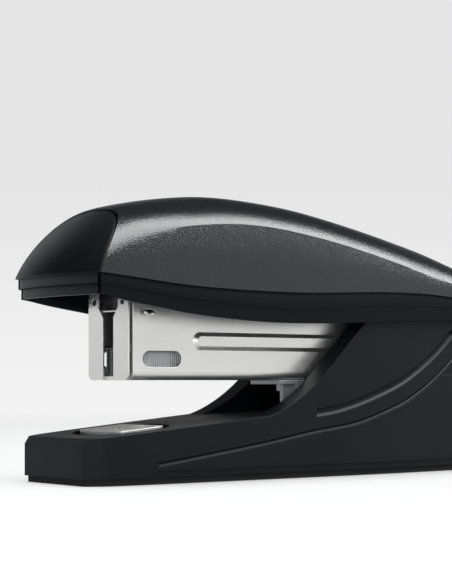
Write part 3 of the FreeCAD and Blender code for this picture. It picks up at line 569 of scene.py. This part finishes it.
def make_cap_shell():
    """The grained cover, thin where it wraps the nose cover."""
    outer, rows, columns = skin()
    faces = grid_faces(rows, columns)
    shell = build("cap_cover", outer, faces, finishes["cap_plastic"], "handle", ("cap_shell",), 60.0)
    thick = shell.vertex_groups.new(name="wall")
    thin_depth = nose_recess + nose_layer - 0.02
    for vertex in shell.data.vertices:
        x, y, z = (c / MM for c in vertex.co)
        thick.add([vertex.index], 1.0 if x - nose_face(y, z) > thin_depth else 0.0, "REPLACE")
    solid = shell.modifiers.new("wall", "SOLIDIFY")
    solid.thickness = wall * MM
    solid.offset = -1.0
    solid.vertex_group = "wall"
    solid.thickness_vertex_group = edge_skin / wall
    apply_modifiers(shell)
    round_edges(shell, 0.16, 14.0)


def make_nose_facet():
    """The smooth facet that closes the nose, sitting just behind the cap's front edge."""
    inset = edge_skin + facet_gap
    steps = section_steps()
    edge = []
    for t in steps:
        x = reach(t, lambda y, z: nose_face(y, z, nose_recess), nose_guess, inset)
        edge.append(cap_point(x, t, inset))
    rings = 18
    points = []
    for i in range(rings):
        share = 1 - i / rings
        for y, z in edge:
            new_y = y * share
            new_z = facet_foot + (z - facet_foot) * share
            points.append((nose_face(new_y, new_z, nose_recess), new_y, new_z))
    points += [(nose_face(0.0, facet_foot, nose_recess), 0.0, facet_foot)] * len(steps)
    facet = build("nose_facet", points, grid_faces(rings + 1, len(steps)), finishes["nose_plastic"], "handle",
                  ("nose_cover",))
    solid = facet.modifiers.new("wall", "SOLIDIFY")
    solid.thickness = facet_wall * MM
    solid.offset = -1.0
    apply_modifiers(facet)
    round_edges(facet, 0.15)


def make_nose_bands():
    """The two rim bands below the facet, apart from the side's bands by a narrow gap."""
    columns = 41
    back = nose_recess + nose_layer
    height_x = nose_face(0.0, 0.0) + 1.5     # where the bands' heights are read from the side lines
    for name, step_in, low, high in (("nose_band_upper", rim_step, step_line, lip_line),
                                     ("nose_band_lower", 2 * rim_step, rim_line, step_line)):
        half = along(half_line, nose_probe) - step_in - edge_skin - corner_gap
        points = []
        for line, depth in ((low, step_in), (high, step_in), (high, back), (low, back)):
            for j in range(columns):
                y = half * (-1 + 2 * j / (columns - 1))
                points.append((nose_face(y, 0.0, depth), y, along(line, height_x)))
        faces = []
        for j in range(columns - 1):
            for i in range(4):
                k = (i + 1) % 4
                faces.append((i * columns + j, i * columns + j + 1, k * columns + j + 1, k * columns + j))
        faces.append(tuple(i * columns for i in range(4)))
        faces.append(tuple(i * columns + columns - 1 for i in reversed(range(4))))
        band = build(name, points, faces, finishes["nose_plastic"], "handle")
        round_edges(band, 0.14)


def rim_path(inset, along_side, along_tail):
    """Plan points of the rim, moved in by inset: near side, round the tail, far side."""
    def side(x):
        return along(half_line, x) - inset

    def tail(x):
        share = max(0.0, (x - tail_start) / (tail_x - inset - tail_start))
        return (tail_half - inset) * (1 - min(1.0, share) ** tail_power) ** (1 / tail_power)
    low, high = 60.0, tail_x - inset
    for _ in range(search_steps):
        middle = (low + high) / 2
        if tail(middle) > side(middle):
            low = middle
        else:
            high = middle
    corner = low
    front = nose_face(side(nose_probe), 0.0, inset)
    places = [front + (corner - front) * i / along_side for i in range(along_side)]
    near = [(x, -side(x)) for x in places]
    wide = side(corner)
    bend = [-wide + 2 * wide * smooth_step(i / along_tail) for i in range(along_tail + 1)]
    far = [(x, -y) for x, y in reversed(near)]
    return near + [(tail_face(y, inset), y) for y in bend] + far


def make_rim():
    """The two stepped bands under the cap's side, in one piece round the tail."""
    along_side, along_tail = 90, 30
    total = 2 * along_side + along_tail + 1
    thin = set(range(3)) | set(range(total - 3, total))      # both ends are thin, beside the nose cover
    profile = [(rim_step, lip_line), (rim_step, step_line),
               (2 * rim_step, step_line), (2 * rim_step, rim_line),
               (clear_inset, rim_line), (clear_inset, lip_line)]
    paths = [rim_path(inset, along_side, along_tail) for inset, _ in profile]
    thin_path = rim_path(2 * rim_step + edge_skin, along_side, along_tail)
    inner = 4                    # from here on the profile lies inside the cap
    points = []
    for i in range(total):
        for k, (_, line) in enumerate(profile):
            path = thin_path if k >= inner and i in thin else paths[k]
            x, y = path[i]
            if k >= inner and i in (0, total - 1):
                x = paths[3][i][0]
            points.append((x, y, along(line, x)))
    faces = grid_faces(total, len(profile), 0, True)
    faces.append(tuple(range(len(profile))))
    faces.append(tuple(reversed(range((total - 1) * len(profile), total * len(profile)))))
    rim = build("rim_bands", points, faces, finishes["smooth_plastic"], "handle", ("cap_rim",))
    round_edges(rim, 0.13)


# ---- wires, coil and dimples ----
def tube(name, path, radius, material, body, replaced):
    """A round wire along a list of points."""
    curve = bpy.data.curves.new(name, "CURVE")
    curve.dimensions = "3D"
    curve.bevel_depth = radius * MM
    curve.bevel_resolution = 2
    curve.use_fill_caps = True
    spline = curve.splines.new("POLY")
    spline.points.add(len(path) - 1)
    for point, place in zip(spline.points, path):
        point.co = (*(Vector(place) * MM), 1)
    rough = bpy.data.objects.new(name, curve)
    bpy.context.collection.objects.link(rough)
    bpy.context.view_layer.update()
    mesh = bpy.data.meshes.new_from_object(rough.evaluated_get(bpy.context.evaluated_depsgraph_get()))
    bpy.data.objects.remove(rough)
    return placed(name, mesh, material, body, replaced, 50.0)


staple_count = 48
staple_wire = 0.5            # thickness of the wire
staple_bend = 0.45           # radius of its bends
wire_share = 0.86            # part of the strip's pitch that a wire takes
wire_round = 0.16            # rounding of its front and back edges
bend_steps = 4


def make_staples():
    """The strip as separate wires, each bent into a crown and two legs, with grooves between."""
    low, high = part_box("staple_strip")
    front, back = low.x / MM, high.x / MM
    pitch = (back - front) / (staple_count - 1 + wire_share)
    half, base, top = high.y / MM, low.z / MM, high.z / MM
    outline = [(-half, base)]
    for i in range(bend_steps + 1):
        turn = math.radians(180.0 - 90.0 * i / bend_steps)
        outline.append((-half + staple_bend + staple_bend * math.cos(turn),
                        top - staple_bend + staple_bend * math.sin(turn)))
    outline += [(-y, z) for y, z in reversed(outline)]
    inward = []
    for y, z in outline:
        inner_y = max(-half + staple_wire, min(half - staple_wire, y))
        inward.append((inner_y, min(z, top - staple_wire)))
    count = len(outline)
    points, faces = [], []
    for k in range(staple_count):
        x0 = front + k * pitch
        x1 = x0 + pitch * wire_share
        first = len(points)
        for x, shrink in ((x0, wire_round), (x0 + wire_round, 0.0), (x1 - wire_round, 0.0), (x1, wire_round)):
            for (y, z), (inner_y, inner_z) in zip(outline, inward):
                share = shrink / staple_wire
                points.append((x, y + (inner_y - y) * share, z + (inner_z - z) * share))
        for x in (x1, x0):
            points += [(x, y, z) for y, z in inward]
        faces += grid_faces(6, count, first)
        faces += [(first + 5 * count + j, first + 5 * count + j + 1, first + j + 1, first + j)
                  for j in range(count - 1)]
        for end in (0, count - 1):
            loop = tuple(first + row * count + end for row in range(6))
            faces.append(loop if end else tuple(reversed(loop)))
    strip = build("staple_wires", points, faces, finishes["staple_wire"], "magazine", ("staple_strip",), 40.0)


def make_anvil_spring():
    """The little coil under the anvil."""
    low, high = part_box("anvil_spring")
    middle = (low + high) / 2 / MM
    height = (high.z - low.z) / MM
    lean = math.radians(5.3)     # square to the tongue
    wire, radius, turns, per_turn = 0.28, 2.6, 5, 20
    length = height - 2 * wire - 2 * radius * math.sin(lean)
    path = []
    for i in range(turns * per_turn + 1):
        turn = 2 * math.pi * i / per_turn
        x, y = radius * math.cos(turn), radius * math.sin(turn)
        z = length * (i / (turns * per_turn) - 0.5)
        path.append((middle.x + x * math.cos(lean) - z * math.sin(lean), middle.y + y,
                     middle.z + x * math.sin(lean) + z * math.cos(lean)))
    coil = tube("anvil_coil", path, wire, finishes["spring_steel"], "base", ("anvil_spring",))


def make_catch_dimples():
    """Small pressed points beside the catch slot of the magazine, one pair on each side."""
    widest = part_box("magazine_sleeve")[1].y / MM
    rings, columns = 5, 16
    sunk, height = 0.05, 0.4
    dimples = [(-55.1, 39.0, 0.55), (-53.2, 38.8, 0.45)]     # x, z and radius
    for side in (-1, 1):
        for x, z, radius in dimples:
            points = []
            for i in range(rings + 1):
                lift = math.radians(90.0 * i / rings)
                for j in range(columns):
                    turn = 2 * math.pi * j / columns
                    points.append((x + radius * math.cos(lift) * math.cos(turn),
                                   side * (widest - sunk + height * math.sin(lift)),
                                   z + radius * math.cos(lift) * math.sin(turn)))
            faces = grid_faces(rings + 1, columns, 0, True)
            faces.append(tuple(range(columns)))
            dimple = build("catch_dimple", points, faces, finishes["nickel_steel"], "magazine", (), 60.0)


def finish_cad_nodes():
    """Gives each CAD node the finish of its slot."""
    slot_of = {part["node"]: part["material_slot"] for part in frame["record"]["subparts"]}
    for name, obj in frame["nodes"].items():
        obj.data.materials.clear()
        obj.data.materials.append(finishes[slot_of[name]])


finish_cad_nodes()
make_cap_shell()
make_nose_facet()
make_nose_bands()
make_rim()
make_staples()
make_anvil_spring()
make_catch_dimples()
